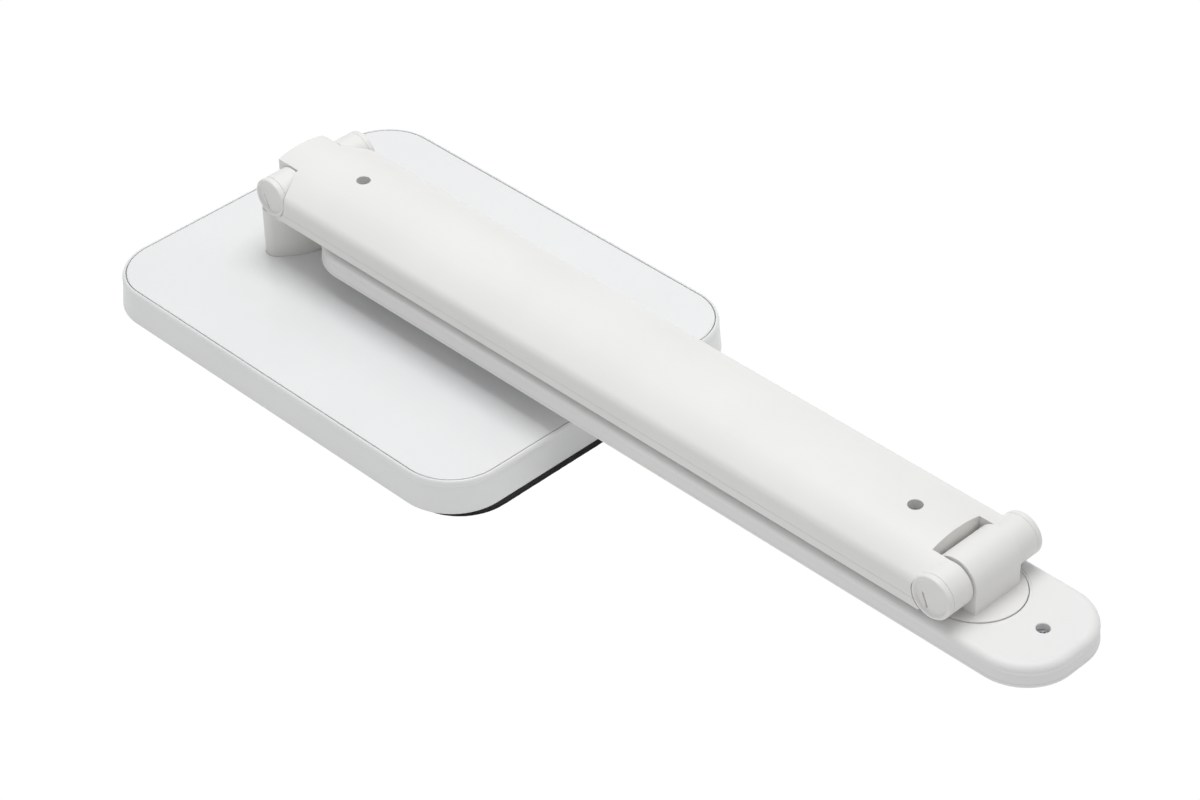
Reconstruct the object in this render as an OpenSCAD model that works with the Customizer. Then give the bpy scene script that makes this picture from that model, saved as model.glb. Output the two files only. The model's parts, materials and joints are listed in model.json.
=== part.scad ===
// Folding desk lamp, stored folded: weighted base, post, hinged arm, swivelling light head.
// Millimetres. +X runs along the arm from the post hinge to the head hinge, +Z is up.
// Origin: centre of the underside of the anti-slip pad.

/* [Base] */
// Length of the base along the arm
base_len = 200; // [190:1:230]
// Width of the base across the arm
base_wid = 152; // [140:1:190]
// Corner radius of the base seen from above
base_r = 23; // [18:0.5:35]
// Height of the base without the pad
base_h = 14.2; // [14:0.1:17]
// Rounding of the rim at the top of the base
rim_round = 1.6; // [0.6:0.1:2]
// Width of the raised rim around the top panel
rim_w = 2.2; // [2:0.1:4]
// Thickness of the top panel
panel_t = 2; // [1.5:0.1:2.4]
// Wall thickness of the base shell
base_wall = 2.2; // [2:0.1:3]
// Thickness of the anti-slip pad
pad_t = 3.2; // [1.5:0.1:5]
// How far the pad stands back from the long sides
pad_inset = 4; // [1:0.5:8]
// Thickness of the steel counterweight
weight_t = 7; // [4:0.5:7]

/* [Hinges] */
// Distance of the post hinge behind the centre of the base
hinge_back = 55.3; // [48:0.1:60]
// Height of both hinge axes above the table when folded
hinge_z = 46; // [45:0.1:52]
// Distance between the two hinge axes
hinge_span = 330; // [300:1:380]
// Radius of both hinge pins
pin_r = 2.5; // [2:0.1:2.5]
// Radial running clearance on the hinge pins
pin_gap = 0.05; // [0.02:0.01:0.1]
// Radius of the post ears
ear_a_r = 7.8; // [7.4:0.1:7.8]
// Radius of the arm ears at the head hinge
ear_b_r = 8.25; // [7.8:0.05:8.25]
// Half width of the moving part between the ears
tongue_y = 11.3; // [10.5:0.1:11.3]

/* [Arm] */
// Width of the arm
arm_w = 47.4; // [47.4:0.1:50]
// Height of the straight side wall of the arm
arm_side_h = 10; // [9:0.1:10]
// Overall height of the arm
arm_h = 17.5; // [16.5:0.1:17.5]
// Wall thickness of the arm mouldings
arm_wall = 1.8; // [1.4:0.1:2]
// Diameter of the screw recesses in the arm
arm_hole_d = 5.5; // [5.4:0.1:6]

/* [Head] */
// Width of the light head
head_w = 48.6; // [46:0.1:50]
// Thickness of the light head
head_t = 8.7; // [8.7:0.1:10]
// Length of the head beyond the head hinge
head_front = 44.1; // [42:0.1:48]
// Length of the head on the long side of the hinge
head_back = 313.7; // [290:0.1:313.7]
// Corner radius of the head seen from above
head_r = 20; // [16:0.5:23]
// Rounding of the upper head edge in section
head_round_top = 1.6; // [1:0.1:2.2]
// Rounding of the lower head edge in section
head_round_low = 2.8; // [2:0.1:3.2]
// Radius of the swivel disc
disc_r = 17.4; // [15:0.1:18]

/* [Hidden] */
$fn = 64;

// tiny overlap that makes cuts run clean through a face
cut = 1;
// gap between fixed parts that lie inside one another
fit = 0.1;

// heights in the base
base_top = pad_t + base_h;
plate_top = pad_t + 2;
deck_top = base_top - panel_t;
deck_z = deck_top - 2;
boss_x = base_len / 2 - 15;
boss_y = base_wid / 2 - 16;
jack_z = plate_top + 4;

// hinge A is on the post, hinge B carries the head
ax = -hinge_back;
bx = ax + hinge_span;
// faces along the hinge axes, measured from the centre plane
ear_y = tongue_y + 0.6;
lug_y0 = ear_y + 1.3;
lug_y1 = lug_y0 + 2;
cap_y = 21.1;
pocket_r = 6.3;
// slot of an end cap: how far off centre each way, its length and its width
pry_slot = [3, 5.8, 0.9];
pry_turn = 66;

// post: flat back, bowed front
post_back = 8.6;
post_front = 8.1;
post_half_w = 23;
post_front_r = 30;
post_top = hinge_z - 8.2;
slot_floor = hinge_z - 12.2;
neck_front = 2.4;

// arm
arm_z = hinge_z - 7.7;
arm_top = arm_z + arm_h;
arm_arch = arm_h - arm_side_h;
arm_arch_r = (arm_arch * arm_arch + arm_w * arm_w / 4) / (2 * arm_arch);
arm_round = 4.5;
shoulder_z = arm_top - arm_arch_r + sqrt(pow(arm_arch_r - arm_round, 2) - pow(arm_w / 2 - arm_round, 2));
arm_split = arm_z + 3.4;
arm_x0 = ax + 3;
arm_x1 = bx - 4.7;
tongue_x = ax - 8.3;
notch_x = bx - 9.7;
arm_holes = [ax + 27.8, bx - 27.4];
frame_z = hinge_z - 1.5;
frame_t = 3;

// head
head_top = hinge_z - 10;
head_z = head_top - head_t;
head_split = head_z + 1.7;
head_len = head_front + head_back;
head_mid = bx + (head_front - head_back) / 2;
head_holes = [bx + 28.6, bx - head_back + 6.5];
light_x0 = bx - head_back + 14;
light_x1 = bx - disc_r - 13;
light_w = head_w - 12;
disc_z = head_top - 2;
shaft_z = disc_z - 2.8;
chip_n = 14;

// ---------- shapes used more than once ----------

// rectangle with round corners, centred
module round_rect(l, w, r) {
    square([l - 2 * r, w], center = true);
    square([l, w - 2 * r], center = true);
    for (x = [-1, 1], y = [-1, 1]) translate([x * (l / 2 - r), y * (w / 2 - r)]) circle(r);
}

// upright plate with round corners, standing on z = 0
module round_plate(l, w, r, h) {
    linear_extrude(h) round_rect(l, w, r);
}

// slab whose top and bottom edges are rounded in section
module soft_slab(l, w, r, h, top, bottom) {
    steps = 4;
    hull() {
        translate([0, 0, bottom]) round_plate(l, w, r, h - top - bottom);
        for (i = [1 : steps])
            let (a = 90 * i / steps, t = top * (1 - cos(a)), b = bottom * (1 - cos(a))) {
                translate([0, 0, h / 2])
                    round_plate(l - 2 * t, w - 2 * t, r - t, h / 2 - top + top * sin(a));
                translate([0, 0, bottom - bottom * sin(a)])
                    round_plate(l - 2 * b, w - 2 * b, r - b, h / 2 - bottom + bottom * sin(a));
            }
    }
}

// cylinder along Y between two positions, on a hinge axis
module along_y(x, r, y0, y1) {
    translate([x, y0, hinge_z]) rotate([-90, 0, 0]) cylinder(h = y1 - y0, r = r);
}

// the same thing on both sides of the centre plane
module both_sides() {
    children();
    mirror([0, 1, 0]) children();
}

// block given by its two corners
module block(a, b) {
    translate(a) cube(b - a);
}

// screw with a cross recess, its head standing on z = 0 and its shank pointing down
module screw(head_r, head_h, shank_r, shank_l) {
    difference() {
        union() {
            cylinder(h = head_h, r = head_r);
            translate([0, 0, -shank_l]) cylinder(h = shank_l, r = shank_r);
        }
        for (a = [0, 90]) rotate(a)
            translate([-head_r * 0.6, -head_r * 0.15, head_h * 0.45])
                cube([head_r * 1.2, head_r * 0.3, head_h]);
    }
}

// outline of the post seen from above
module post_plan(grow) {
    intersection() {
        translate([ax + post_front - post_front_r, 0]) circle(post_front_r + grow);
        translate([ax, 0]) union() {
            translate([-post_back - grow, -post_half_w + 4])
                square([post_back + post_front + 2 * grow, 2 * post_half_w - 8]);
            translate([-post_back + 4, -post_half_w - grow])
                square([post_back + post_front, 2 * (post_half_w + grow)]);
            for (y = [-1, 1]) translate([4 - post_back, y * (post_half_w - 4)])
                circle(4 + grow);
        }
    }
}

// outline of the arm in section: straight sides, round shoulders and an arch
module arm_section(inset) {
    side = arm_w / 2 - arm_round;
    meet = side * (arm_arch_r - inset) / (arm_arch_r - arm_round);
    intersection() {
        translate([0, arm_top - arm_arch_r]) circle(arm_arch_r - inset, $fn = 180);
        translate([-meet, 0]) square([2 * meet, arm_top + cut]);
    }
    translate([-arm_w / 2 + inset, 0]) square([arm_w - 2 * inset, shoulder_z]);
    for (s = [-1, 1]) translate([s * side, shoulder_z]) circle(arm_round - inset);
}

// arm section between two stations, less everything below z0
module arm_prism(x0, x1, inset, z0) {
    translate([x0, 0, 0]) rotate([90, 0, 90]) linear_extrude(x1 - x0) intersection() {
        arm_section(inset);
        translate([-arm_w, z0]) square([2 * arm_w, arm_h]);
    }
}

// closed end cap of a hinge barrel: chamfered rim, sunken face, spigot, and beside the
// centre of the face a narrow slot to pry it out by
module hinge_cap(x, r) {
    translate([x, 0, hinge_z]) rotate([90, 0, 0]) {
        difference() {
            rotate_extrude() polygon([[0, cap_y + fit], [r, cap_y + fit],
                [r, arm_w / 2 - 0.8], [r - 0.8, arm_w / 2], [r - 1.4, arm_w / 2],
                [r - 1.9, arm_w / 2 - 0.7], [0, arm_w / 2 - 0.7]]);
            translate([-pry_slot[0], -pry_slot[0], arm_w / 2 - 1.7]) rotate(-pry_turn)
                translate([-pry_slot[1] / 2, -pry_slot[2] / 2, 0])
                    cube([pry_slot[1], pry_slot[2], 3]);
        }
        translate([0, 0, cap_y - 1]) cylinder(h = 1 + fit, r = pocket_r - fit);
    }
}

// pin with a low round head at the near end, and a plain end that takes the nut
module hinge_pin(x) {
    along_y(x, pin_r, -lug_y1, lug_y1 + 3);
    along_y(x, 4.5, -lug_y1 - 2.6, -lug_y1);
}

// hexagon lock nut on the far end of a pin
module lock_nut(x) {
    difference() {
        translate([x, lug_y1, hinge_z]) rotate([-90, 0, 0]) cylinder(h = 2.8, r = 4.6, $fn = 6);
        along_y(x, pin_r + 0.02, lug_y1 - cut, lug_y1 + 4);
    }
}

// thin friction washer on each side of the moving part
module friction_washers(x) {
    both_sides() difference() {
        along_y(x, 6.8, tongue_y, ear_y);
        along_y(x, pin_r + 0.15, tongue_y - cut, ear_y + cut);
    }
}

// ---------- base ----------

module anti_slip_pad() color("#161616") {
    round_plate(base_len - 0.4, base_wid - 2 * pad_inset, base_r - 1, pad_t);
}

module base_bottom_plate() color("#dcdcda") difference() {
    union() {
        translate([0, 0, pad_t])
            round_plate(base_len - 2 * base_wall - 0.4, base_wid - 2 * base_wall - 0.4,
                base_r - base_wall - 0.2, plate_top - pad_t);
        for (y = [-16, 16]) translate([ax - 18.5, y, plate_top]) cylinder(h = 1.2, r = 2.5);
    }
    for (x = [-1, 1], y = [-1, 1]) translate([x * boss_x, y * boss_y, pad_t - cut]) {
        cylinder(h = 4, r = 1.7);
        cylinder(h = cut + 1.2, r = 3.1);
    }
}

module base_screws() color("#a9acb0") {
    for (x = [-1, 1], y = [-1, 1]) translate([x * boss_x, y * boss_y, pad_t + 1.2])
        mirror([0, 0, 1]) screw(2.8, 1.1, 1.45, 8);
}

module base_shell() color("#f1f1ef") difference() {
    translate([0, 0, pad_t]) soft_slab(base_len, base_wid, base_r, base_h, rim_round, 0.6);
    // hollow underside, with a boss left standing for each screw
    difference() {
        translate([0, 0, pad_t - cut])
            round_plate(base_len - 2 * base_wall, base_wid - 2 * base_wall,
                base_r - base_wall, deck_z - pad_t + cut);
        for (x = [-1, 1], y = [-1, 1]) translate([x * boss_x, y * boss_y, plate_top])
            cylinder(h = deck_z, r = 4);
    }
    // seat of the top panel
    translate([0, 0, deck_top])
        round_plate(base_len - 2 * rim_w, base_wid - 2 * rim_w, base_r - rim_w, panel_t + cut);
    for (x = [-1, 1], y = [-1, 1]) translate([x * boss_x, y * boss_y, plate_top - cut])
        cylinder(h = 8.6, r = 1.5);
    // holes for the two post screws and the cable
    for (y = [-8, 8]) translate([ax, y, deck_z - cut]) cylinder(h = 5, r = 2.1);
    translate([ax, 0, deck_z - cut]) cylinder(h = 5, r = 2.6);
    // window of the power inlet
    block([-base_len / 2 - cut, -4.7, jack_z - 3.8], [-base_len / 2 + 5, 4.7, jack_z + 3.8]);
}

module base_top_panel() color("#f7f8f8") difference() {
    translate([0, 0, deck_top])
        round_plate(base_len - 2 * rim_w - 0.7, base_wid - 2 * rim_w - 0.7,
            base_r - rim_w - 0.35, panel_t);
    translate([0, 0, deck_top - cut]) linear_extrude(panel_t + 2 * cut) post_plan(0.15);
}

module counterweight() color("#6f7276") {
    translate([17, 0, plate_top + 0.05]) round_plate(118, 126, 8, weight_t);
}

module control_board() color("#1f6b3a") {
    board_x = ax - 18.5;
    block([board_x - 10, -22, plate_top + 1.2], [board_x + 8, 22, plate_top + 2.8]);
    block([board_x - 6, -18, plate_top + 2.8], [board_x + 2, -9, plate_top + 5.6]);
    translate([board_x - 2, 12, plate_top + 2.8]) cylinder(h = 4.6, r = 3.2);
}

module dc_jack() color("#1c1c1e") {
    difference() {
        block([-base_len / 2 + 0.2, -4.6, jack_z - 3.7], [-base_len / 2 + 13, 4.6, jack_z + 3.7]);
        translate([-base_len / 2 - cut, 0, jack_z]) rotate([0, 90, 0])
            cylinder(h = 9.5 + cut, r = 2.85);
    }
    translate([-base_len / 2 + 1.2, 0, jack_z]) rotate([0, 90, 0]) cylinder(h = 9, r = 1.05);
}

module base_cable() color("#2a2a2c") {
    cable_z = plate_top + 4.4;
    translate([ax - 10.4, 0, cable_z]) rotate([0, 90, 0]) cylinder(h = 10.4, r = 1.4);
    translate([ax, 0, cable_z - 1.4]) cylinder(h = slot_floor - cable_z, r = 1.4);
}

// ---------- post ----------

module post_column() color("#efefed") difference() {
    union() {
        translate([0, 0, deck_top]) linear_extrude(post_top - deck_top) post_plan(0);
        both_sides() along_y(ax, ear_a_r, ear_y, cap_y);
        // neck that carries each barrel down into the column, flush with its back
        both_sides() block([ax - ear_a_r, ear_y, post_top - 3], [ax + neck_front, cap_y,
            hinge_z]);
    }
    // gap between the ears for the tongue of the arm
    block([ax - 20, -ear_y, slot_floor], [ax + 20, ear_y, hinge_z + 20]);
    // seat of each end cap
    both_sides() along_y(ax, ear_a_r + 0.15, cap_y, cap_y + 10);
    // pockets for the steel bracket, the pin head and the nut
    both_sides() along_y(ax, pocket_r, lug_y0 - 0.1, cap_y + cut);
    both_sides() block([ax - 5.1, lug_y0 - 0.1, deck_top - cut],
        [ax + 1.1, lug_y1 + 0.1, hinge_z]);
    both_sides() along_y(ax, pin_r + 0.1, ear_y - cut, lug_y0 + cut);
    block([ax - 6.1, -lug_y1 - 0.1, deck_top - cut], [ax + 2.9, lug_y1 + 0.1, deck_top + 2.6]);
    // post screws and cable
    for (y = [-8, 8]) translate([ax, y, deck_top]) cylinder(h = 14, r = 1.8);
    translate([ax, 0, deck_top]) cylinder(h = 40, r = 2.2);
}

module post_bracket() color("#8b8f94") difference() {
    union() {
        block([ax - 6, -lug_y1, deck_top], [ax + 2.8, lug_y1, deck_top + 2.5]);
        both_sides() block([ax - 5, lug_y0, deck_top], [ax + 1, lug_y1, hinge_z]);
        both_sides() along_y(ax, 5, lug_y0, lug_y1);
    }
    both_sides() along_y(ax, pin_r + 0.02, lug_y0 - cut, lug_y1 + cut);
    for (y = [-8, 8]) translate([ax, y, deck_top - cut]) cylinder(h = 5, r = 2.1);
    translate([ax, 0, deck_top - cut]) cylinder(h = 5, r = 2.6);
}

module post_screws() color("#a9acb0") {
    for (y = [-8, 8]) translate([ax, y, deck_z]) mirror([0, 0, 1]) screw(3.5, 2, 1.75, 15);
}

module hinge_a_pin() color("#b4b7bb") hinge_pin(ax);
module hinge_a_nut() color("#b4b7bb") lock_nut(ax);
module hinge_a_caps() color("#f1f1ef") both_sides() hinge_cap(ax, ear_a_r);
module hinge_a_washers() color("#d8d2c4") friction_washers(ax);

// ---------- arm ----------

module arm_top_shell() color("#f3f3f1") difference() {
    union() {
        difference() {
            arm_prism(arm_x0, arm_x1, 0, arm_split + fit);
            arm_prism(ax + 12, notch_x - 2, arm_wall, arm_split - cut);
        }
        // tongue between the post ears
        intersection() {
            arm_prism(tongue_x, ax + 13, 0, arm_z);
            union() {
                along_y(ax, 8.3, -tongue_y, tongue_y);
                block([tongue_x, -tongue_y, hinge_z], [ax + 13, tongue_y, arm_top + cut]);
                block([ax, -tongue_y, arm_split + fit], [ax + 13, tongue_y, hinge_z + cut]);
            }
        }
        // ears at the head hinge, which the arch runs out onto
        both_sides() along_y(bx, ear_b_r, ear_y, cap_y);
        arm_prism(arm_x1 - cut, bx - 1.7, 0, hinge_z);
        // screw bosses, each standing on the steel frame
        for (x = arm_holes) translate([x, 0, frame_z + frame_t])
            cylinder(h = arm_top - frame_z - frame_t - arm_wall / 2, r = 4.4);
    }
    // clearance around the post ears
    both_sides() along_y(ax, ear_a_r + 0.4, tongue_y, arm_w);
    // gap for the swivel knuckle, and seats of the end caps
    block([notch_x, -ear_y, arm_z - cut], [bx + 20, ear_y, arm_top + cut]);
    both_sides() along_y(bx, ear_b_r + 0.15, cap_y, arm_w);
    // pockets for the steel lugs, the pin heads and the nuts
    both_sides() along_y(bx, pocket_r, lug_y0 - 0.1, cap_y + cut);
    both_sides() block([notch_x - 3, lug_y0 - 0.1, hinge_z - 5.1], [bx, lug_y1 + 0.1,
        hinge_z + 5.1]);
    both_sides() along_y(bx, pin_r + 0.1, ear_y - cut, lug_y0 + cut);
    // room for the steel knuckle and strip in the tongue
    along_y(ax, 5.6, -tongue_y - cut, tongue_y + cut);
    block([ax, -8.1, frame_z - 0.1], [ax + 14, 8.1, frame_z + frame_t + 0.1]);
    for (x = arm_holes) translate([x, 0, frame_z]) {
        cylinder(h = 20, r = 1.7);
        translate([0, 0, frame_t + 2.4]) cylinder(h = 20, r = arm_hole_d / 2);
    }
}

module arm_bottom_cover() color("#ececea") difference() {
    union() {
        difference() {
            block([arm_x0, -arm_w / 2, arm_z], [arm_x1, arm_w / 2, arm_split]);
            block([ax + 13, -arm_w / 2 + arm_wall, arm_z + 1.7], [notch_x - 2,
                arm_w / 2 - arm_wall, arm_split + cut]);
        }
        for (x = arm_holes) translate([x, 0, arm_z + 1]) cylinder(h = frame_z - arm_z - 1,
            r = 3.6);
    }
    along_y(ax, ear_a_r + 0.4, -arm_w, arm_w);
    block([ax - 10, -tongue_y - 0.3, arm_z - cut], [ax + 9, tongue_y + 0.3, arm_split + cut]);
    block([notch_x, -ear_y, arm_z - cut], [bx + 20, ear_y, arm_split + cut]);
    both_sides() along_y(bx, ear_b_r + 0.15, ear_y - 0.1, arm_w);
    for (x = arm_holes) translate([x, 0, arm_z + 1.6]) cylinder(h = 10, r = 1.5);
}

module arm_frame() color("#8b8f94") difference() {
    union() {
        along_y(ax, 5.5, -tongue_y, tongue_y);
        block([ax, -8, frame_z], [notch_x - 3.2, 8, frame_z + frame_t]);
        block([notch_x - 9, -lug_y1, frame_z], [notch_x - 3.2, lug_y1, frame_z + frame_t]);
        both_sides() block([notch_x - 9, lug_y0, frame_z], [bx, lug_y1, frame_z + frame_t]);
        both_sides() along_y(bx, 5, lug_y0, lug_y1);
    }
    along_y(ax, pin_r + pin_gap, -tongue_y - cut, tongue_y + cut);
    both_sides() along_y(bx, pin_r + 0.02, lug_y0 - cut, lug_y1 + cut);
    for (x = arm_holes) translate([x, 0, frame_z - cut]) cylinder(h = 6, r = 1.7);
}

module arm_screws() color("#a9acb0") {
    for (x = arm_holes) translate([x, 0, frame_z + frame_t + 2.4])
        screw(2.6, 1.9, 1.45, 9.8);
}

module arm_cable() color("#2a2a2c") {
    translate([ax + 14, -14, arm_z + 3.4]) rotate([0, 90, 0])
        cylinder(h = notch_x - ax - 18, r = 1.5);
}

module hinge_b_pin() color("#b4b7bb") hinge_pin(bx);
module hinge_b_nut() color("#b4b7bb") lock_nut(bx);
module hinge_b_caps() color("#f1f1ef") both_sides() hinge_cap(bx, ear_b_r);
module hinge_b_washers() color("#d8d2c4") friction_washers(bx);

// ---------- swivel between arm and head ----------

module swivel_knuckle() color("#efefed") difference() {
    union() {
        along_y(bx, 9.3, -tongue_y, tongue_y);
        block([bx - 9.3, -tongue_y, head_top], [bx + 9.3, tongue_y, hinge_z]);
        translate([bx, 0, disc_z]) cylinder(h = 2.3, r = disc_r);
        translate([bx, 0, shaft_z]) cylinder(h = disc_z - shaft_z + cut, r = 6);
    }
    along_y(bx, pin_r + pin_gap, -tongue_y - cut, tongue_y + cut);
    translate([bx, 0, shaft_z - cut]) cylinder(h = 9, r = 1.5);
}

module swivel_retainer() color("#9a9da1") difference() {
    translate([bx, 0, shaft_z - 1.2]) cylinder(h = 1.2, r = 8.6);
    translate([bx, 0, shaft_z - 3]) cylinder(h = 5, r = 1.6);
}

module swivel_screw() color("#a9acb0") {
    translate([bx, 0, shaft_z - 1.2]) mirror([0, 0, 1]) screw(3, 0.6, 1.45, 8);
}

// ---------- head ----------

module head_front_frame() color("#f5f6f6") difference() {
    union() {
        difference() {
            intersection() {
                translate([head_mid, 0, head_z])
                    soft_slab(head_len, head_w, head_r, head_t, head_round_top, head_round_low);
                block([bx - head_back - cut, -head_w, head_split],
                    [bx + head_front + cut, head_w, head_top + cut]);
            }
            translate([head_mid, 0, head_split - cut])
                round_plate(head_len - 5, head_w - 5, head_r - 2.5, head_top - 2 - head_split + cut);
        }
        // thick floor under the swivel disc, and a tube for each screw
        translate([bx, 0, shaft_z + 0.3]) cylinder(h = disc_z - shaft_z, r = disc_r + 2);
        for (x = head_holes) translate([x, 0, head_split + 1.6])
            cylinder(h = head_top - head_split - 2, r = 3.6);
    }
    // seat of the disc and bearing of its shaft
    translate([bx, 0, disc_z]) cylinder(h = 5, r = disc_r + 0.35);
    translate([bx, 0, shaft_z - cut]) cylinder(h = 6, r = 6.05);
    // window of the diffuser
    translate([(light_x0 + light_x1) / 2, 0, head_top - 4])
        round_plate(light_x1 - light_x0, light_w, 6, 6);
    for (x = head_holes) translate([x, 0, head_split]) {
        cylinder(h = 10, r = 1.4);
        translate([0, 0, 3]) cylinder(h = 10, r = 2.45);
    }
}

module head_back_cover() color("#f5f6f6") difference() {
    union() {
        intersection() {
            translate([head_mid, 0, head_z])
                soft_slab(head_len, head_w, head_r, head_t, head_round_top, head_round_low);
            block([bx - head_back - cut, -head_w, head_z - cut],
                [bx + head_front + cut, head_w, head_split - 0.1]);
        }
        for (x = head_holes) translate([x, 0, head_z + 1]) cylinder(h = 2.2, r = 3.2);
    }
    for (x = head_holes) translate([x, 0, head_z + 0.6]) cylinder(h = 5, r = 1.1);
    // room for the end of the swivel screw
    translate([bx, 0, head_z + 1]) cylinder(h = 5, r = 9.4);
}

module head_screws() color("#a9acb0") {
    for (x = head_holes) translate([x, 0, head_split + 3]) screw(2.2, 1.4, 1.05, 4);
}

module diffuser() color("#fbfbf6") {
    translate([(light_x0 + light_x1) / 2, 0, head_top - 1.9])
        round_plate(light_x1 - light_x0 - 0.4, light_w - 0.4, 5.8, 1.7);
}

module reflector_tray() color("#ffffff") difference() {
    translate([(light_x0 + light_x1) / 2, 0, head_split + 1.7])
        round_plate(light_x1 - light_x0 - 0.6, light_w - 0.6, 5.7, head_t - 5.4);
    translate([(light_x0 + light_x1) / 2, 0, head_split])
        round_plate(light_x1 - light_x0 - 4, light_w - 4, 4, head_t);
}

module led_board() color("#e9e9e4") {
    translate([(light_x0 + light_x1) / 2, 0, head_split + 0.1])
        round_plate(light_x1 - light_x0 - 1, light_w - 1, 5.5, 1.5);
}

module led_chips() color("#f2d95c") {
    pitch = (light_x1 - light_x0 - 20) / (chip_n - 1);
    for (i = [0 : chip_n - 1], y = [-1, 1])
        translate([light_x0 + 10 + i * pitch, y * 8, head_split + 2])
            cube([2.8, 3.5, 0.8], center = true);
}

anti_slip_pad();
base_bottom_plate();
base_screws();
base_shell();
base_top_panel();
counterweight();
control_board();
dc_jack();
base_cable();
post_column();
post_bracket();
post_screws();
hinge_a_pin();
hinge_a_nut();
hinge_a_caps();
hinge_a_washers();
arm_top_shell();
arm_bottom_cover();
arm_frame();
arm_screws();
arm_cable();
hinge_b_pin();
hinge_b_nut();
hinge_b_caps();
hinge_b_washers();
swivel_knuckle();
swivel_retainer();
swivel_screw();
head_front_frame();
head_back_cover();
head_screws();
diffuser();
reflector_tray();
led_board();
led_chips();
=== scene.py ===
import json
import math

import bmesh
import bpy
from mathutils import Matrix, Quaternion, Vector
from mathutils import noise as space_noise


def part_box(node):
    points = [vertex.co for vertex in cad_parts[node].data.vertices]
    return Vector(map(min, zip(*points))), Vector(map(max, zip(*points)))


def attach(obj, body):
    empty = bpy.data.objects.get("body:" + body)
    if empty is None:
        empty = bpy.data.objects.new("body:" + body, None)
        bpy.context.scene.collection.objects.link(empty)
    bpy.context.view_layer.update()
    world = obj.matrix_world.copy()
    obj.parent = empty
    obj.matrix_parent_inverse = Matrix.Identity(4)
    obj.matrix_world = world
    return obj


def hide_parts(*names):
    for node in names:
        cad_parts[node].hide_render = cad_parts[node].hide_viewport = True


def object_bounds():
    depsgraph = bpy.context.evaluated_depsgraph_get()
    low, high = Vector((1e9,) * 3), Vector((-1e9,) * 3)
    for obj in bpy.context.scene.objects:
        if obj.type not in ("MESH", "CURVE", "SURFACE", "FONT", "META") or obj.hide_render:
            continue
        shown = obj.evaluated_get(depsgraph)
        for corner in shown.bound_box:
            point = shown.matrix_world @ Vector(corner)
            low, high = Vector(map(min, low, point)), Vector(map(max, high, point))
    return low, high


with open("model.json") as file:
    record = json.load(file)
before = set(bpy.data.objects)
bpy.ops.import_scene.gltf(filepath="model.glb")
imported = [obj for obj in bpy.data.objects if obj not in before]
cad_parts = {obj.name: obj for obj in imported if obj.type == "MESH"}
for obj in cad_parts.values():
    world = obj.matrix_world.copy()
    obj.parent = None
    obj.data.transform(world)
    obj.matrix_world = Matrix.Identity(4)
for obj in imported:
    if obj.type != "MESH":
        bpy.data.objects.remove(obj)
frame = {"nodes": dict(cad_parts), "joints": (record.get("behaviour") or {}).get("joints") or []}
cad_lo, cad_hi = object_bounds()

MM = 0.001
NODES = frame["nodes"]
JOINTS = {j["name"]: j for j in frame["joints"]}


# ---------------------------------------------------------------- frame facts
def box_mm(node):
    """Lowest and highest corner of a CAD node, in millimetres."""
    lo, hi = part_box(node)
    return Vector(lo) / MM, Vector(hi) / MM


HINGE_A = Vector(JOINTS["arm_lift"]["pos_m"]) / MM
HINGE_B = Vector(JOINTS["head_tilt"]["pos_m"]) / MM
BASE_LO, BASE_HI = box_mm("base_shell")
PAD_LO, PAD_HI = box_mm("anti_slip_pad")
PANEL_LO, PANEL_HI = box_mm("base_top_panel")
POST_LO, POST_HI = box_mm("post_column")
FRAME_LO, FRAME_HI = box_mm("head_front_frame")
COVER_LO = box_mm("head_back_cover")[0]
GLASS_LO, GLASS_HI = box_mm("diffuser")
DISC_LO, DISC_HI = box_mm("swivel_knuckle")
SCREWS_LO, SCREWS_HI = box_mm("head_screws")
RETAINER_TOP = box_mm("swivel_retainer")[1].z
JACK_LO, JACK_HI = box_mm("dc_jack")
CAPS_A_LO, CAPS_A_HI = box_mm("hinge_a_caps")
CAPS_B_LO, CAPS_B_HI = box_mm("hinge_b_caps")


# ---------------------------------------------------------------- materials
def new_material(name):
    """Material with nothing but a Principled shader, its node tree and that shader."""
    mat = bpy.data.materials.new(name)
    mat.use_nodes = True
    tree = mat.node_tree
    tree.nodes.clear()
    out = tree.nodes.new("ShaderNodeOutputMaterial")
    bsdf = tree.nodes.new("ShaderNodeBsdfPrincipled")
    tree.links.new(bsdf.outputs["BSDF"], out.inputs["Surface"])
    return mat, tree, bsdf


def noise(tree, scale, detail=3.0, rough=0.5, stretch=(1, 1, 1)):
    """Noise over the object's own coordinates, in metres."""
    coord = tree.nodes.new("ShaderNodeTexCoord")
    mapping = tree.nodes.new("ShaderNodeMapping")
    mapping.inputs["Scale"].default_value = stretch
    tex = tree.nodes.new("ShaderNodeTexNoise")
    tex.inputs["Scale"].default_value = scale
    tex.inputs["Detail"].default_value = detail
    tex.inputs["Roughness"].default_value = rough
    tree.links.new(coord.outputs["Object"], mapping.inputs["Vector"])
    tree.links.new(mapping.outputs["Vector"], tex.inputs["Vector"])
    return tex


def ramp(tree, source, stops):
    """Colour that follows a value through (position, colour) stops."""
    node = tree.nodes.new("ShaderNodeValToRGB")
    node.color_ramp.elements[0].position = stops[0][0]
    node.color_ramp.elements[0].color = (*stops[0][1], 1)
    node.color_ramp.elements[1].position = stops[-1][0]
    node.color_ramp.elements[1].color = (*stops[-1][1], 1)
    for position, colour in stops[1:-1]:
        node.color_ramp.elements.new(position).color = (*colour, 1)
    tree.links.new(source, node.inputs["Fac"])
    return node.outputs["Color"]


# the middle part of a noise value, where nearly all of it lies
CALM, STRONG = 0.3, 0.7


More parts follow.
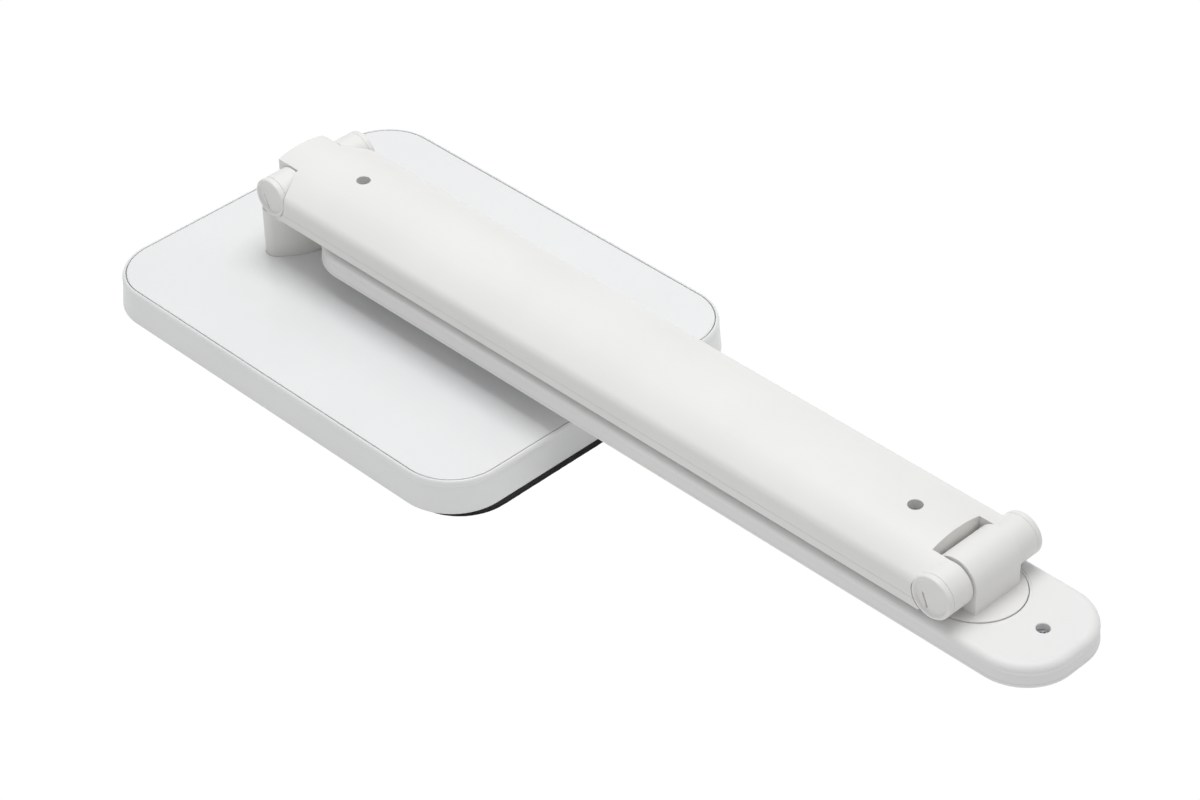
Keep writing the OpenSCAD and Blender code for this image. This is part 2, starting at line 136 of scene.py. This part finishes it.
def spread(tree, source, low, high):
    """Value from low to high that follows a noise."""
    node = tree.nodes.new("ShaderNodeMapRange")
    node.inputs["From Min"].default_value = CALM
    node.inputs["From Max"].default_value = STRONG
    node.inputs["To Min"].default_value = low
    node.inputs["To Max"].default_value = high
    tree.links.new(source, node.inputs["Value"])
    return node.outputs["Result"]


def bump(tree, bsdf, source, strength, distance):
    """Fine relief in the shading, its distance in metres."""
    node = tree.nodes.new("ShaderNodeBump")
    node.inputs["Strength"].default_value = strength
    node.inputs["Distance"].default_value = distance
    tree.links.new(source, node.inputs["Height"])
    tree.links.new(node.outputs["Normal"], bsdf.inputs["Normal"])


def plastic(name, low, high, rough, grain, grain_depth, coat=0.0):
    """Moulded plastic: cloudy colour, uneven gloss and a fine moulded grain."""
    mat, tree, bsdf = new_material(name)
    cloud = noise(tree, 22, 4)
    fine = noise(tree, grain, 2)
    tree.links.new(ramp(tree, cloud.outputs["Fac"], [(CALM, low), (STRONG, high)]),
                   bsdf.inputs["Base Color"])
    tree.links.new(spread(tree, cloud.outputs["Fac"], *rough), bsdf.inputs["Roughness"])
    bump(tree, bsdf, fine.outputs["Fac"], 1.0, grain_depth)
    bsdf.inputs["IOR"].default_value = 1.5
    bsdf.inputs["Coat Weight"].default_value = coat
    bsdf.inputs["Coat Roughness"].default_value = 0.06
    return mat


def metal(name, low, high, rough, stretch):
    """Plated or brushed metal with a directional grain."""
    mat, tree, bsdf = new_material(name)
    grain = noise(tree, 900, 3, 0.6, stretch)
    tree.links.new(ramp(tree, grain.outputs["Fac"], [(CALM, low), (STRONG, high)]),
                   bsdf.inputs["Base Color"])
    tree.links.new(spread(tree, grain.outputs["Fac"], *rough), bsdf.inputs["Roughness"])
    bump(tree, bsdf, grain.outputs["Fac"], 0.4, 0.00004)
    bsdf.inputs["Metallic"].default_value = 1.0
    return mat


def foam(name):
    """Black closed-cell foam: tiny pits, and a few pale fibres on the cut edge."""
    mat, tree, bsdf = new_material(name)
    cells = tree.nodes.new("ShaderNodeTexVoronoi")
    cells.inputs["Scale"].default_value = 1500
    coord = tree.nodes.new("ShaderNodeTexCoord")
    tree.links.new(coord.outputs["Object"], cells.inputs["Vector"])
    lint = noise(tree, 260, 2, 0.5, (1, 1, 4))
    tree.links.new(ramp(tree, lint.outputs["Fac"], [
        (0.0, (0.006, 0.006, 0.006)), (0.70, (0.016, 0.016, 0.015)),
        (0.76, (0.075, 0.07, 0.06))]), bsdf.inputs["Base Color"])
    tree.links.new(spread(tree, cells.outputs["Distance"], 0.75, 0.95),
                   bsdf.inputs["Roughness"])
    bump(tree, bsdf, cells.outputs["Distance"], 0.7, 0.0002)
    return mat


# name, darkest and lightest colour, roughness range, grain per metre and its depth, coat
GLOSS = plastic("gloss_white_abs", (0.790, 0.797, 0.800), (0.815, 0.822, 0.825),
                (0.30, 0.40), 420, 0.000006, 0.1)
PANEL = plastic("gloss_white_panel", (0.800, 0.805, 0.812), (0.822, 0.828, 0.834),
                (0.18, 0.26), 260, 0.000005, 0.25)
SOFT = plastic("soft_white_abs", (0.795, 0.795, 0.790), (0.820, 0.820, 0.815),
               (0.46, 0.56), 1500, 0.000008)
SATIN = plastic("satin_warm_white_abs", (0.795, 0.792, 0.776), (0.822, 0.819, 0.803),
                (0.36, 0.46), 2600, 0.000012)
INNER = plastic("plain_white_abs", (0.66, 0.66, 0.65), (0.72, 0.72, 0.71),
                (0.5, 0.6), 1800, 0.00001)
BLACK = plastic("black_nylon", (0.018, 0.018, 0.02), (0.03, 0.03, 0.033),
                (0.38, 0.5), 2200, 0.00001)
JACKET = plastic("cable_jacket", (0.02, 0.02, 0.022), (0.035, 0.035, 0.038),
                 (0.45, 0.6), 1500, 0.00002)
NYLON = plastic("natural_nylon", (0.62, 0.60, 0.53), (0.70, 0.68, 0.62),
                (0.4, 0.5), 1800, 0.00001)
BOARD = plastic("green_solder_mask", (0.012, 0.09, 0.035), (0.02, 0.13, 0.05),
                (0.25, 0.4), 900, 0.00002)
MASK = plastic("white_solder_mask", (0.70, 0.70, 0.68), (0.78, 0.78, 0.76),
               (0.3, 0.4), 900, 0.00002)
OPAL = plastic("opal_diffuser", (0.86, 0.86, 0.83), (0.89, 0.89, 0.865),
               (0.42, 0.52), 3200, 0.00002)
REFLECT = plastic("matt_reflector", (0.84, 0.84, 0.84), (0.88, 0.88, 0.88),
                  (0.6, 0.7), 1600, 0.00001)
PHOSPHOR = plastic("led_phosphor", (0.75, 0.60, 0.12), (0.85, 0.70, 0.2),
                   (0.3, 0.4), 1600, 0.00001)
FOAM = foam("black_foam")
ZINC = metal("zinc_plated", (0.50, 0.51, 0.53), (0.66, 0.67, 0.69), (0.28, 0.42),
             (1, 1, 1))
SHEET = metal("sheet_steel", (0.40, 0.41, 0.42), (0.52, 0.53, 0.54), (0.35, 0.5),
              (0.1, 1, 1))
WEIGHT = metal("mill_steel", (0.14, 0.145, 0.15), (0.22, 0.22, 0.225), (0.45, 0.6),
               (1, 0.2, 1))

LOOKS = {
    "anti_slip_pad": FOAM, "base_bottom_plate": INNER, "base_screws": ZINC,
    "base_shell": GLOSS, "base_top_panel": PANEL, "counterweight": WEIGHT,
    "control_board": BOARD, "dc_jack": BLACK, "base_cable": JACKET,
    "post_column": SATIN, "post_bracket": SHEET, "post_screws": ZINC,
    "hinge_a_pin": ZINC, "hinge_a_nut": ZINC, "hinge_a_caps": SATIN,
    "hinge_a_washers": NYLON, "arm_top_shell": SATIN, "arm_bottom_cover": SATIN,
    "arm_frame": SHEET, "arm_screws": ZINC, "arm_cable": JACKET,
    "hinge_b_pin": ZINC, "hinge_b_nut": ZINC, "hinge_b_caps": SATIN,
    "hinge_b_washers": NYLON, "swivel_knuckle": SATIN, "swivel_retainer": ZINC,
    "swivel_screw": ZINC, "head_front_frame": SOFT, "head_back_cover": SOFT,
    "head_screws": ZINC, "diffuser": OPAL, "reflector_tray": REFLECT,
    "led_board": MASK, "led_chips": PHOSPHOR,
}


# ---------------------------------------------------------------- mesh tools
# all shapes are built in millimetres and scaled to metres when they become pieces
# corners closer than WELD are one, and facets that turn by less than FLAT_ANGLE are flat
WELD, FLAT_ANGLE = 0.002, math.radians(0.4)
# how far a cutter reaches past the surface that it opens
PAST = 1


def add_object(name, data):
    """Object in the scene's own collection."""
    obj = bpy.data.objects.new(name, data)
    bpy.context.scene.collection.objects.link(obj)
    return obj


def size_of(lo, hi):
    """Length and width of a box."""
    return (hi.x - lo.x, hi.y - lo.y)


def outline(size, radius, inset=0.0, middle=(0, 0), steps=16):
    """Rounded rectangle seen from above, counter-clockwise, with its edge moved in."""
    points = []
    r = radius - inset
    for sx, sy, turn in ((1, 1, 0), (-1, 1, 90), (-1, -1, 180), (1, -1, 270)):
        cx = middle[0] + sx * (size[0] / 2 - inset - r)
        cy = middle[1] + sy * (size[1] / 2 - inset - r)
        for i in range(steps + 1):
            a = math.radians(turn + 90 * i / steps)
            points.append((cx + r * math.cos(a), cy + r * math.sin(a)))
    return points


def circle(radius, steps=72):
    """Points of a circle, counter-clockwise."""
    return [(radius * math.cos(2 * math.pi * i / steps),
             radius * math.sin(2 * math.pi * i / steps)) for i in range(steps)]


def bend(middle, radii, start, end, steps=6):
    """Points on a part of an ellipse, angles in degrees."""
    angles = [math.radians(start + (end - start) * i / steps) for i in range(steps + 1)]
    return [(middle[0] + radii[0] * math.cos(a), middle[1] + radii[1] * math.sin(a))
            for a in angles]


def loft(rings):
    """Closed skin over rings of points, with a flat face over the first and the last."""
    bm = bmesh.new()
    loops = [[bm.verts.new(p) for p in ring] for ring in rings]
    count = len(loops[0])
    for a, b in zip(loops, loops[1:]):
        for i in range(count):
            j = (i + 1) % count
            bm.faces.new((a[i], a[j], b[j], b[i]))
    bm.faces.new(list(reversed(loops[0])))
    bm.faces.new(loops[-1])
    bmesh.ops.recalc_face_normals(bm, faces=bm.faces)
    return bm


def slab(size, radius, profile, middle=(0, 0)):
    """Rounded slab whose edge follows a profile of (inset, height) points."""
    return loft([[(x, y, z) for x, y in outline(size, radius, inset, middle)]
                 for inset, z in profile])


def turned(profile, place=Matrix.Identity(4), steps=72):
    """Turned solid from a profile of (radius, height) points, set down at a place."""
    bm = loft([[(x, y, z) for x, y in circle(r, steps)] for r, z in profile])
    bm.transform(place)
    return bm


def prism(points, low, high):
    """Upright block over an outline."""
    return loft([[(x, y, z) for x, y in points] for z in (low, high)])


def scratch(bm):
    """Puts a bmesh into the scene for a moment, so that a modifier can use it."""
    mesh = bpy.data.meshes.new("scratch")
    bm.to_mesh(mesh)
    bm.free()
    return add_object("scratch", mesh)


def combine(bm, others, operation="DIFFERENCE"):
    """A bmesh less other ones, or together with them."""
    target = scratch(bm)
    tools = [scratch(other) for other in others]
    for tool in tools:
        modifier = target.modifiers.new("cut", "BOOLEAN")
        modifier.operation = operation
        modifier.solver = "EXACT"
        modifier.object = tool
    bpy.context.view_layer.update()
    result = bmesh.new()
    shaped = target.evaluated_get(bpy.context.evaluated_depsgraph_get())
    result.from_mesh(shaped.to_mesh())
    shaped.to_mesh_clear()
    for obj in [target] + tools:
        mesh = obj.data
        bpy.data.objects.remove(obj)
        bpy.data.meshes.remove(mesh)
    bmesh.ops.remove_doubles(result, verts=result.verts, dist=WELD)
    bmesh.ops.dissolve_degenerate(result, edges=result.edges, dist=WELD)
    return result


def smooth(obj, angle=38):
    """Smooth shading that keeps flat faces flat and real edges sharp."""
    obj.data.shade_smooth()
    obj.data.set_sharp_from_angle(angle=math.radians(angle))
    even = obj.modifiers.new("even", "WEIGHTED_NORMAL")
    even.keep_sharp = True


def piece(name, bm, look, body, slot, *nodes):
    """Makes a finished piece from a bmesh in millimetres, in place of its CAD nodes."""
    bmesh.ops.scale(bm, vec=(MM, MM, MM), verts=bm.verts)
    mesh = bpy.data.meshes.new(name)
    bm.to_mesh(mesh)
    bm.free()
    mesh.materials.append(look)
    obj = add_object(name, mesh)
    smooth(obj)
    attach(obj, body)
    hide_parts(*nodes)
    return obj


# ---------------------------------------------------------------- base
BASE_SIZE = size_of(BASE_LO, BASE_HI)
# radius of its corners seen from above
BASE_R = 23.0
DECK_TOP = PANEL_LO.z
# the fine groove between the rim and the panel, and the width of the rim outside it
GROOVE = 0.35
RIM_W = PANEL_LO.x - BASE_LO.x - GROOVE


def base_casing():
    """Shell with a slightly drafted wall, a rolled lip over a fine crease, and a deck."""
    top, low = BASE_HI.z, BASE_LO.z
    draft, lip_h = 0.9, 2.35
    foot_r, step, inner_r = 0.7, 0.35, 0.3
    lip_w = RIM_W - draft - 0.18
    crease = top - lip_h
    profile = [(RIM_W, DECK_TOP - 2), (RIM_W, low + 0.2), (RIM_W - 0.2, low), (foot_r, low)]
    profile += bend((foot_r, low + foot_r), (foot_r, foot_r), 270, 180)
    profile += [(0.02, low + 1.2), (draft - 0.02, crease - 0.6)]
    profile += [(draft, crease - 0.3), (draft + 0.04, crease - 0.12), (draft - 0.03, crease)]
    profile += bend((RIM_W - inner_r, crease + step), (lip_w, lip_h - step), 180, 90, 10)
    profile += bend((RIM_W - inner_r, top - inner_r), (inner_r, inner_r), 90, 0, 4)[1:]
    profile += [(RIM_W, DECK_TOP)]
    return combine(slab(BASE_SIZE, BASE_R, profile), [jack_window()])


def jack_window():
    """Cutter for the opening round the power inlet."""
    middle, gap = (JACK_LO + JACK_HI) / 2, 0.1
    reach = (JACK_HI.z - JACK_LO.z) / 2 + gap
    size = (JACK_HI.x - JACK_LO.x + 2 * PAST, JACK_HI.y - JACK_LO.y + 3 * gap)
    window = slab(size, 0.9, [(0, -reach), (0, reach)])
    window.transform(Matrix.Translation((middle.x, 0, middle.z)))
    return window


def post_outline(grow, steps=24):
    """Foot of the post seen from above: flat back, bowed front, and four round corners."""
    back, front, half = POST_LO.x - grow, POST_HI.x + grow, POST_HI.y + grow
    bow, corner = 30 + grow, 4 + grow
    centre, side = front - bow, half - corner
    reach = math.asin(side / (bow - corner))
    turn = centre + (bow - corner) * math.cos(reach)
    degrees = math.degrees(reach)
    points = bend((centre, 0), (bow, bow), -degrees, degrees, steps)
    points += bend((turn, side), (corner, corner), degrees, 90)[1:]
    points += bend((back + corner, side), (corner, corner), 90, 180, 10)
    points += bend((back + corner, -side), (corner, corner), 180, 270, 10)
    points += bend((turn, -side), (corner, corner), 270, 360 - degrees)[:-1]
    return points


def base_panel():
    """Glossy panel with a softened edge, open where the post passes through it."""
    edge = 0.35
    profile = [(0.1, DECK_TOP + 0.02), (0, DECK_TOP + 0.12), (0, PANEL_HI.z - edge)]
    profile += bend((edge, PANEL_HI.z - edge), (edge, edge), 180, 90, 4)[1:]
    panel = slab(size_of(PANEL_LO, PANEL_HI), BASE_R - RIM_W - GROOVE, profile)
    opening = prism(post_outline(0.15), DECK_TOP - PAST, PANEL_HI.z + PAST)
    return combine(panel, [opening])


def foam_pad():
    """Foam cut from a sheet: its edge wavers a little and its corners are slightly worn."""
    spacing, depth, across, up = 1.6, 0.11, 0.55, 1.4
    corners = [Vector(p) for p in outline(size_of(PAD_LO, PAD_HI), BASE_R - 1, 0.12)]
    edge = []
    for a, b in zip(corners, corners[1:] + corners[:1]):
        count = max(1, round((b - a).length / spacing))
        edge += [a.lerp(b, i / count) for i in range(count)]
    rings = []
    for z, inset in ((0, 0.3), (0.25, 0.06), (1.0, 0.0), (1.7, 0.05), (2.4, 0.0),
                     (PAD_HI.z - 0.2, 0.05), (PAD_HI.z - 0.02, 0.25)):
        ring = []
        for p in edge:
            waver = depth * space_noise.noise(Vector((p.x * across, p.y * across, z * up)))
            ring.append((*(p * (1 - (inset - waver) / p.length)), z))
        rings.append(ring)
    return loft(rings)


piece("base_casing", base_casing(), GLOSS, "base", "gloss_white", "base_shell")
piece("base_panel", base_panel(), PANEL, "base", "gloss_white_panel", "base_top_panel")
pad = piece("foam_pad", foam_pad(), FOAM, "base", "black_foam", "anti_slip_pad")


# ---------------------------------------------------------------- head
HEAD_SIZE = size_of(FRAME_LO, FRAME_HI)
HEAD_MID = ((FRAME_LO.x + FRAME_HI.x) / 2, 0)
# radius of its corners seen from above
HEAD_R = 20.0
# edge of the head in section: lower rounding, rolled lid and draft of the wall below it
LOW_ROUND, LID_ROUND, WALL_DRAFT = 1.0, 3.2, 0.6
GLASS_SIZE = size_of(GLASS_LO, GLASS_HI)
GLASS_MID = ((GLASS_LO.x + GLASS_HI.x) / 2, 0)
GLASS_R, GLASS_GAP = 5.8, 0.2
DISC_R = (DISC_HI.x - DISC_LO.x) / 2
SHAFT_BORE_R, RELIEF_R = 6.05, 9.4
SCREW_R, CLEARANCE_R, PILOT_R = 2.2, 1.4, 1.1
SCREW_X = (SCREWS_LO.x + SCREW_R, SCREWS_HI.x - SCREW_R)


def wall_inset(z):
    """How far in the wall of the head is at a height below the lid."""
    low = COVER_LO.z
    drop = min(max(0.0, low + LOW_ROUND - z), LOW_ROUND)
    rounding = LOW_ROUND - math.sqrt(LOW_ROUND ** 2 - drop ** 2)
    return rounding + WALL_DRAFT * (z - low) / (FRAME_HI.z - LID_ROUND - low)


def upright(x, profile):
    """Turned cutter standing at x on the centre line."""
    return turned(profile, Matrix.Translation((x, 0, 0)))


def head_casing():
    """Upper moulding of the head, with the disc seat, the light window and screw wells."""
    low, top = FRAME_LO.z, FRAME_HI.z
    crease, step = top - LID_ROUND, 0.6
    foot, neck = wall_inset(low), wall_inset(crease)
    profile = [(foot + 0.03, low), (foot, low + 0.03)]
    profile += [(neck - 0.02, crease - 0.5), (neck, crease - 0.25), (neck, crease)]
    lid = WALL_DRAFT - 0.16
    profile += bend((lid + LID_ROUND, crease + step), (LID_ROUND, LID_ROUND - step), 180, 90, 12)
    shell = slab(HEAD_SIZE, HEAD_R, profile, HEAD_MID)
    seat_r = DISC_R + 0.35
    seat = upright(HINGE_B.x, [(seat_r, DISC_LO.z + 2.8), (seat_r, top - 0.16),
                               (seat_r + 0.8, top - 0.13), (seat_r + 0.9, top + 0.02),
                               (seat_r + 0.9, top + PAST)])
    bore = upright(HINGE_B.x, [(SHAFT_BORE_R, low + 1), (SHAFT_BORE_R, top - 1)])
    relief = upright(HINGE_B.x, [(RELIEF_R, low - PAST), (RELIEF_R, RETAINER_TOP + 0.05)])
    wells, well_r, flare = [], SCREW_R + 0.25, 0.25
    for x in SCREW_X:
        wells.append(upright(x, [(well_r, SCREWS_HI.z - 1.4), (well_r, top - 0.22),
                                 (well_r + flare, top + 0.03), (well_r + flare, top + PAST)]))
        wells.append(upright(x, [(CLEARANCE_R, low - PAST), (CLEARANCE_R, top - 2)]))
    return combine(shell, [light_window(), seat, bore, relief] + wells)


def light_window():
    """Cutter for the window round the diffuser, flared at the top."""
    low, top, flare = FRAME_LO.z - PAST, FRAME_HI.z, 0.35
    size = (GLASS_SIZE[0] + 2 * GLASS_GAP, GLASS_SIZE[1] + 2 * GLASS_GAP)
    profile = [(0, low), (0, top - flare), (-flare, top + 0.02), (-flare, top + PAST)]
    return slab(size, GLASS_R + GLASS_GAP, profile, GLASS_MID)


def head_cover():
    """Lower moulding of the head."""
    low = COVER_LO.z
    split = FRAME_LO.z - 0.06
    heights = [low + LOW_ROUND * (1 - math.cos(math.radians(a))) for a in range(0, 91, 15)]
    profile = [(LOW_ROUND + 2.5, low)] + [(wall_inset(z), z) for z in heights]
    profile += [(wall_inset(split), split - 0.03), (wall_inset(split) + 0.03, split)]
    cover = slab(HEAD_SIZE, HEAD_R, profile, HEAD_MID)
    relief = upright(HINGE_B.x, [(RELIEF_R, low + 1), (RELIEF_R, split + PAST)])
    pilots = [upright(x, [(PILOT_R, low + 0.6), (PILOT_R, split + PAST)]) for x in SCREW_X]
    return combine(cover, [relief] + pilots)


def light_panel():
    """Opal diffuser with a soft edge."""
    edge = 0.4
    profile = [(edge, GLASS_LO.z), (0, GLASS_LO.z + edge), (0, GLASS_HI.z - edge)]
    profile += bend((edge, GLASS_HI.z - edge), (edge, edge), 180, 90, 4)[1:]
    return slab(GLASS_SIZE, GLASS_R, profile, GLASS_MID)


piece("head_casing", head_casing(), SOFT, "head", "gloss_white", "head_front_frame")
piece("head_cover", head_cover(), SOFT, "head", "gloss_white", "head_back_cover")
piece("light_panel", light_panel(), OPAL, "head", "opal_plastic", "diffuser")


# ---------------------------------------------------------------- hinge caps
# how far a cap stands out of its barrel, and how deep its face is dished
CAP_PROUD, DISH = 2.6, 1.12


def both_sides(bm, axis):
    """A turned piece laid along Y on a hinge axis, and its mirror image on the far side."""
    lay = Matrix.Rotation(math.radians(90), 4, "X")
    far = bm.copy()
    bm.transform(Matrix.Translation(axis) @ lay)
    far.transform(Matrix.Translation(axis) @ Matrix.Scale(-1, 4, (0, 1, 0)) @ lay)
    bmesh.ops.reverse_faces(far, faces=far.faces)
    mesh = bpy.data.meshes.new("scratch")
    far.to_mesh(mesh)
    bm.from_mesh(mesh)
    far.free()
    bpy.data.meshes.remove(mesh)
    return bm


def cap_pair(lo, hi, slot_depth):
    """Both end caps of a hinge: rolled rim, dished face and a slot to pry them out by."""
    r, outer = (hi.x - lo.x) / 2, hi.y
    axis = Vector(((lo.x + hi.x) / 2, 0, (lo.z + hi.z) / 2))
    rim_r, lip_r, seat = 0.7, 0.3, outer - CAP_PROUD
    profile = [(r - 0.2, seat), (r, seat + 0.15), (r, outer - rim_r)]
    profile += bend((r - rim_r, outer - rim_r), (rim_r, rim_r), 0, 90, 6)[1:]
    profile += bend((r - 0.95, outer - lip_r), (lip_r, lip_r), 90, 150, 3)
    profile += [(r - 1.6, outer - 0.75), (r - 1.9, outer - 0.95), (r - 2.6, outer - 1.03),
                (r - 4.5, outer - 1.09), (0.3, outer - DISH)]
    slot_w, slot_l, off_axis, turn = 0.85, 6.0, 3.0, math.radians(24)
    slot = slab((slot_w, slot_l), 0.42, [(0, outer - DISH - slot_depth), (0, outer + PAST)])
    slot.transform(Matrix.Translation((-off_axis, -off_axis, 0)) @ Matrix.Rotation(turn, 4, "Z"))
    return both_sides(combine(turned(profile), [slot]), axis)


piece("hinge_a_end_caps", cap_pair(CAPS_A_LO, CAPS_A_HI, 0.15), SATIN, "base",
      "satin_white", "hinge_a_caps")
piece("hinge_b_end_caps", cap_pair(CAPS_B_LO, CAPS_B_HI, 0.7), SATIN, "arm",
      "satin_white", "hinge_b_caps")


# ---------------------------------------------------------------- post
def box_mesh(lo, hi):
    """Block between two corners."""
    return prism([(lo[0], lo[1]), (hi[0], lo[1]), (hi[0], hi[1]), (lo[0], hi[1])], lo[2], hi[2])


def bevel(bm, degrees, width):
    """Rounds the edges that turn by more than an angle."""
    picked = [e for e in bm.edges if len(e.link_faces) == 2
              and e.calc_face_angle(0) > math.radians(degrees)]
    bmesh.ops.bevel(bm, geom=picked, offset=width, segments=3, profile=0.5,
                    affect="EDGES", clamp_overlap=True)
    bmesh.ops.remove_doubles(bm, verts=bm.verts, dist=WELD / 4)
    return bm


def post():
    """Bow-fronted column with two barrels on necks, hollow for the bracket and the pin."""
    r, barrel_y = (CAPS_A_HI.x - CAPS_A_LO.x) / 2, CAPS_A_HI.y - CAP_PROUD
    axis, gap, web, far = HINGE_A, 11.9, 1.2, 20
    pocket_r, pin_bore_r, cable_r = 6.3, 2.6, 2.2
    shoulder, floor_z = axis.z - 8.2, axis.z - 12.2
    parts = [both_sides(turned([(r, gap), (r, barrel_y)]), axis)]
    for y0, y1 in ((-barrel_y, -gap), (gap, barrel_y)):
        parts.append(box_mesh((axis.x - r, y0, shoulder - 3), (axis.x + 2.4, y1, axis.z)))
    body = combine(prism(post_outline(0), DECK_TOP + 0.01, shoulder), parts, "UNION")
    cuts = [box_mesh((axis.x - far, -gap, floor_z), (axis.x + far, gap, axis.z + far)),
            both_sides(turned([(pocket_r, gap + web), (pocket_r, barrel_y + PAST)]), axis),
            both_sides(turned([(pin_bore_r, gap - PAST), (pin_bore_r, gap + 2)]), axis),
            upright(axis.x, [(cable_r, DECK_TOP - PAST), (cable_r, floor_z + 3)])]
    return bevel(combine(body, cuts), 40, 0.35)


piece("post", post(), SATIN, "base", "satin_white", "post_column")


# ---------------------------------------------------------------- arm
def refined(node):
    """Copy of a CAD node as a clean mesh in millimetres: joined corners, whole flat faces."""
    bm = bmesh.new()
    bm.from_mesh(NODES[node].data)
    bmesh.ops.scale(bm, vec=(1 / MM, 1 / MM, 1 / MM), verts=bm.verts)
    bmesh.ops.remove_doubles(bm, verts=bm.verts, dist=WELD)
    bmesh.ops.dissolve_limit(bm, angle_limit=FLAT_ANGLE, verts=bm.verts, edges=bm.edges)
    return bm


def softened(bm):
    """The small rounding that a moulding has on its edges."""
    return bevel(bm, 35, 0.28)


def arm_cover():
    """Lower moulding of the arm, which starts a little past the post hinge."""
    start, far = HINGE_A.x + 4.8, 80
    before = box_mesh((start - far, -far, 0), (start, far, far))
    return softened(combine(refined("arm_bottom_cover"), [before]))


piece("arm_casing", softened(refined("arm_top_shell")), SATIN, "arm",
      "satin_white", "arm_top_shell")
piece("arm_cover", arm_cover(), SATIN, "arm", "satin_white", "arm_bottom_cover")
piece("knuckle", softened(refined("swivel_knuckle")), SATIN, "swivel",
      "satin_white", "swivel_knuckle")


# ---------------------------------------------------------------- CAD pieces
def soften(obj, width):
    """Joins split corners, merges flat facets, rounds the sharp edges and evens the shading."""
    weld = obj.modifiers.new("weld", "WELD")
    weld.merge_threshold = WELD * MM
    flat = obj.modifiers.new("flat", "DECIMATE")
    flat.decimate_type = "DISSOLVE"
    flat.angle_limit = FLAT_ANGLE
    edge = obj.modifiers.new("edge", "BEVEL")
    edge.width = width * MM
    edge.segments = 2
    edge.limit_method = "ANGLE"
    edge.angle_limit = math.radians(30)
    even = obj.modifiers.new("even", "WEIGHTED_NORMAL")
    even.keep_sharp = True


for node, look in LOOKS.items():
    obj = NODES[node]
    obj.data.materials.clear()
    obj.data.materials.append(look)
for node, width in (("dc_jack", 0.2), ("head_screws", 0.08), ("arm_screws", 0.1)):
    soften(NODES[node], width)

# ---------------------------------------------------------------- camera
# where the camera stands and the point it looks at, in metres, and how it leans
CAMERA_PLACE = Vector((0.79543, -0.67573, 0.77152))
CAMERA_AIM = Vector((0.10850, -0.00986, 0.03))
CAMERA_LEAN = math.radians(-1.058)

lens = bpy.data.cameras.new("camera")
lens.sensor_width = 36
lens.lens = 101.69
lens.clip_start, lens.clip_end = 0.05, 20
camera = add_object("camera", lens)
towards = (CAMERA_AIM - CAMERA_PLACE).to_track_quat("-Z", "Y")
turn = towards @ Quaternion((0, 0, 1), CAMERA_LEAN)
camera.matrix_world = Matrix.Translation(CAMERA_PLACE) @ turn.to_matrix().to_4x4()
scene = bpy.context.scene
scene.camera = camera

# ---------------------------------------------------------------- studio
scene.view_settings.view_transform = "Standard"
scene.view_settings.look = "None"

world = bpy.data.worlds.new("studio")
scene.world = world
world.use_nodes = True
world.node_tree.nodes["Background"].inputs["Color"].default_value = (1, 1, 1, 1)
world.node_tree.nodes["Background"].inputs["Strength"].default_value = 0.5


def floor_paper():
    """Pale paper that lights the object as paper and is blown out to white when seen."""
    mat, tree, bsdf = new_material("floor_paper")
    paper = noise(tree, 40, 3)
    tones = [(CALM, (0.80, 0.80, 0.80)), (STRONG, (0.82, 0.82, 0.82))]
    tree.links.new(ramp(tree, paper.outputs["Fac"], tones), bsdf.inputs["Base Color"])
    bsdf.inputs["Roughness"].default_value = 0.9
    bsdf.inputs["Emission Color"].default_value = (1, 1, 1, 1)
    bsdf.inputs["Emission Strength"].default_value = 0.12
    glow = tree.nodes.new("ShaderNodeEmission")
    glow.inputs["Strength"].default_value = 1.02
    path = tree.nodes.new("ShaderNodeLightPath")
    mix = tree.nodes.new("ShaderNodeMixShader")
    tree.links.new(path.outputs["Is Camera Ray"], mix.inputs["Fac"])
    tree.links.new(bsdf.outputs["BSDF"], mix.inputs[1])
    tree.links.new(glow.outputs["Emission"], mix.inputs[2])
    surface = next(n for n in tree.nodes if n.type == "OUTPUT_MATERIAL").inputs["Surface"]
    tree.links.new(mix.outputs["Shader"], surface)
    return mat


# the floor reaches 20 m each way, and lies 0.2 mm below the pad
REACH, BELOW = 20, 0.0002
corners = [(-REACH, -REACH, 0), (REACH, -REACH, 0), (REACH, REACH, 0), (-REACH, REACH, 0)]
floor_mesh = bpy.data.meshes.new("floor")
floor_mesh.from_pydata(corners, [], [(0, 1, 2, 3)])
floor_mesh.materials.append(floor_paper())
floor = add_object("floor", floor_mesh)
floor.location.z = cad_lo.z - BELOW


def area_light(name, place, aim, size, power):
    """Soft box at a place, turned to an aim, both in metres."""
    data = bpy.data.lights.new(name, "AREA")
    data.shape = "RECTANGLE"
    data.size, data.size_y = size
    data.energy = power
    obj = add_object(name, data)
    obj.location = place
    obj.rotation_mode = "QUATERNION"
    obj.rotation_quaternion = (Vector(aim) - Vector(place)).to_track_quat("-Z", "Y")


MIDDLE = (0.08, 0, 0)
area_light("overhead", (0.02, 0.15, 1.3), MIDDLE, (0.85, 0.7), 10)
area_light("back", (-0.7, 1.0, 1.2), MIDDLE, (1.4, 1.0), 1.2)
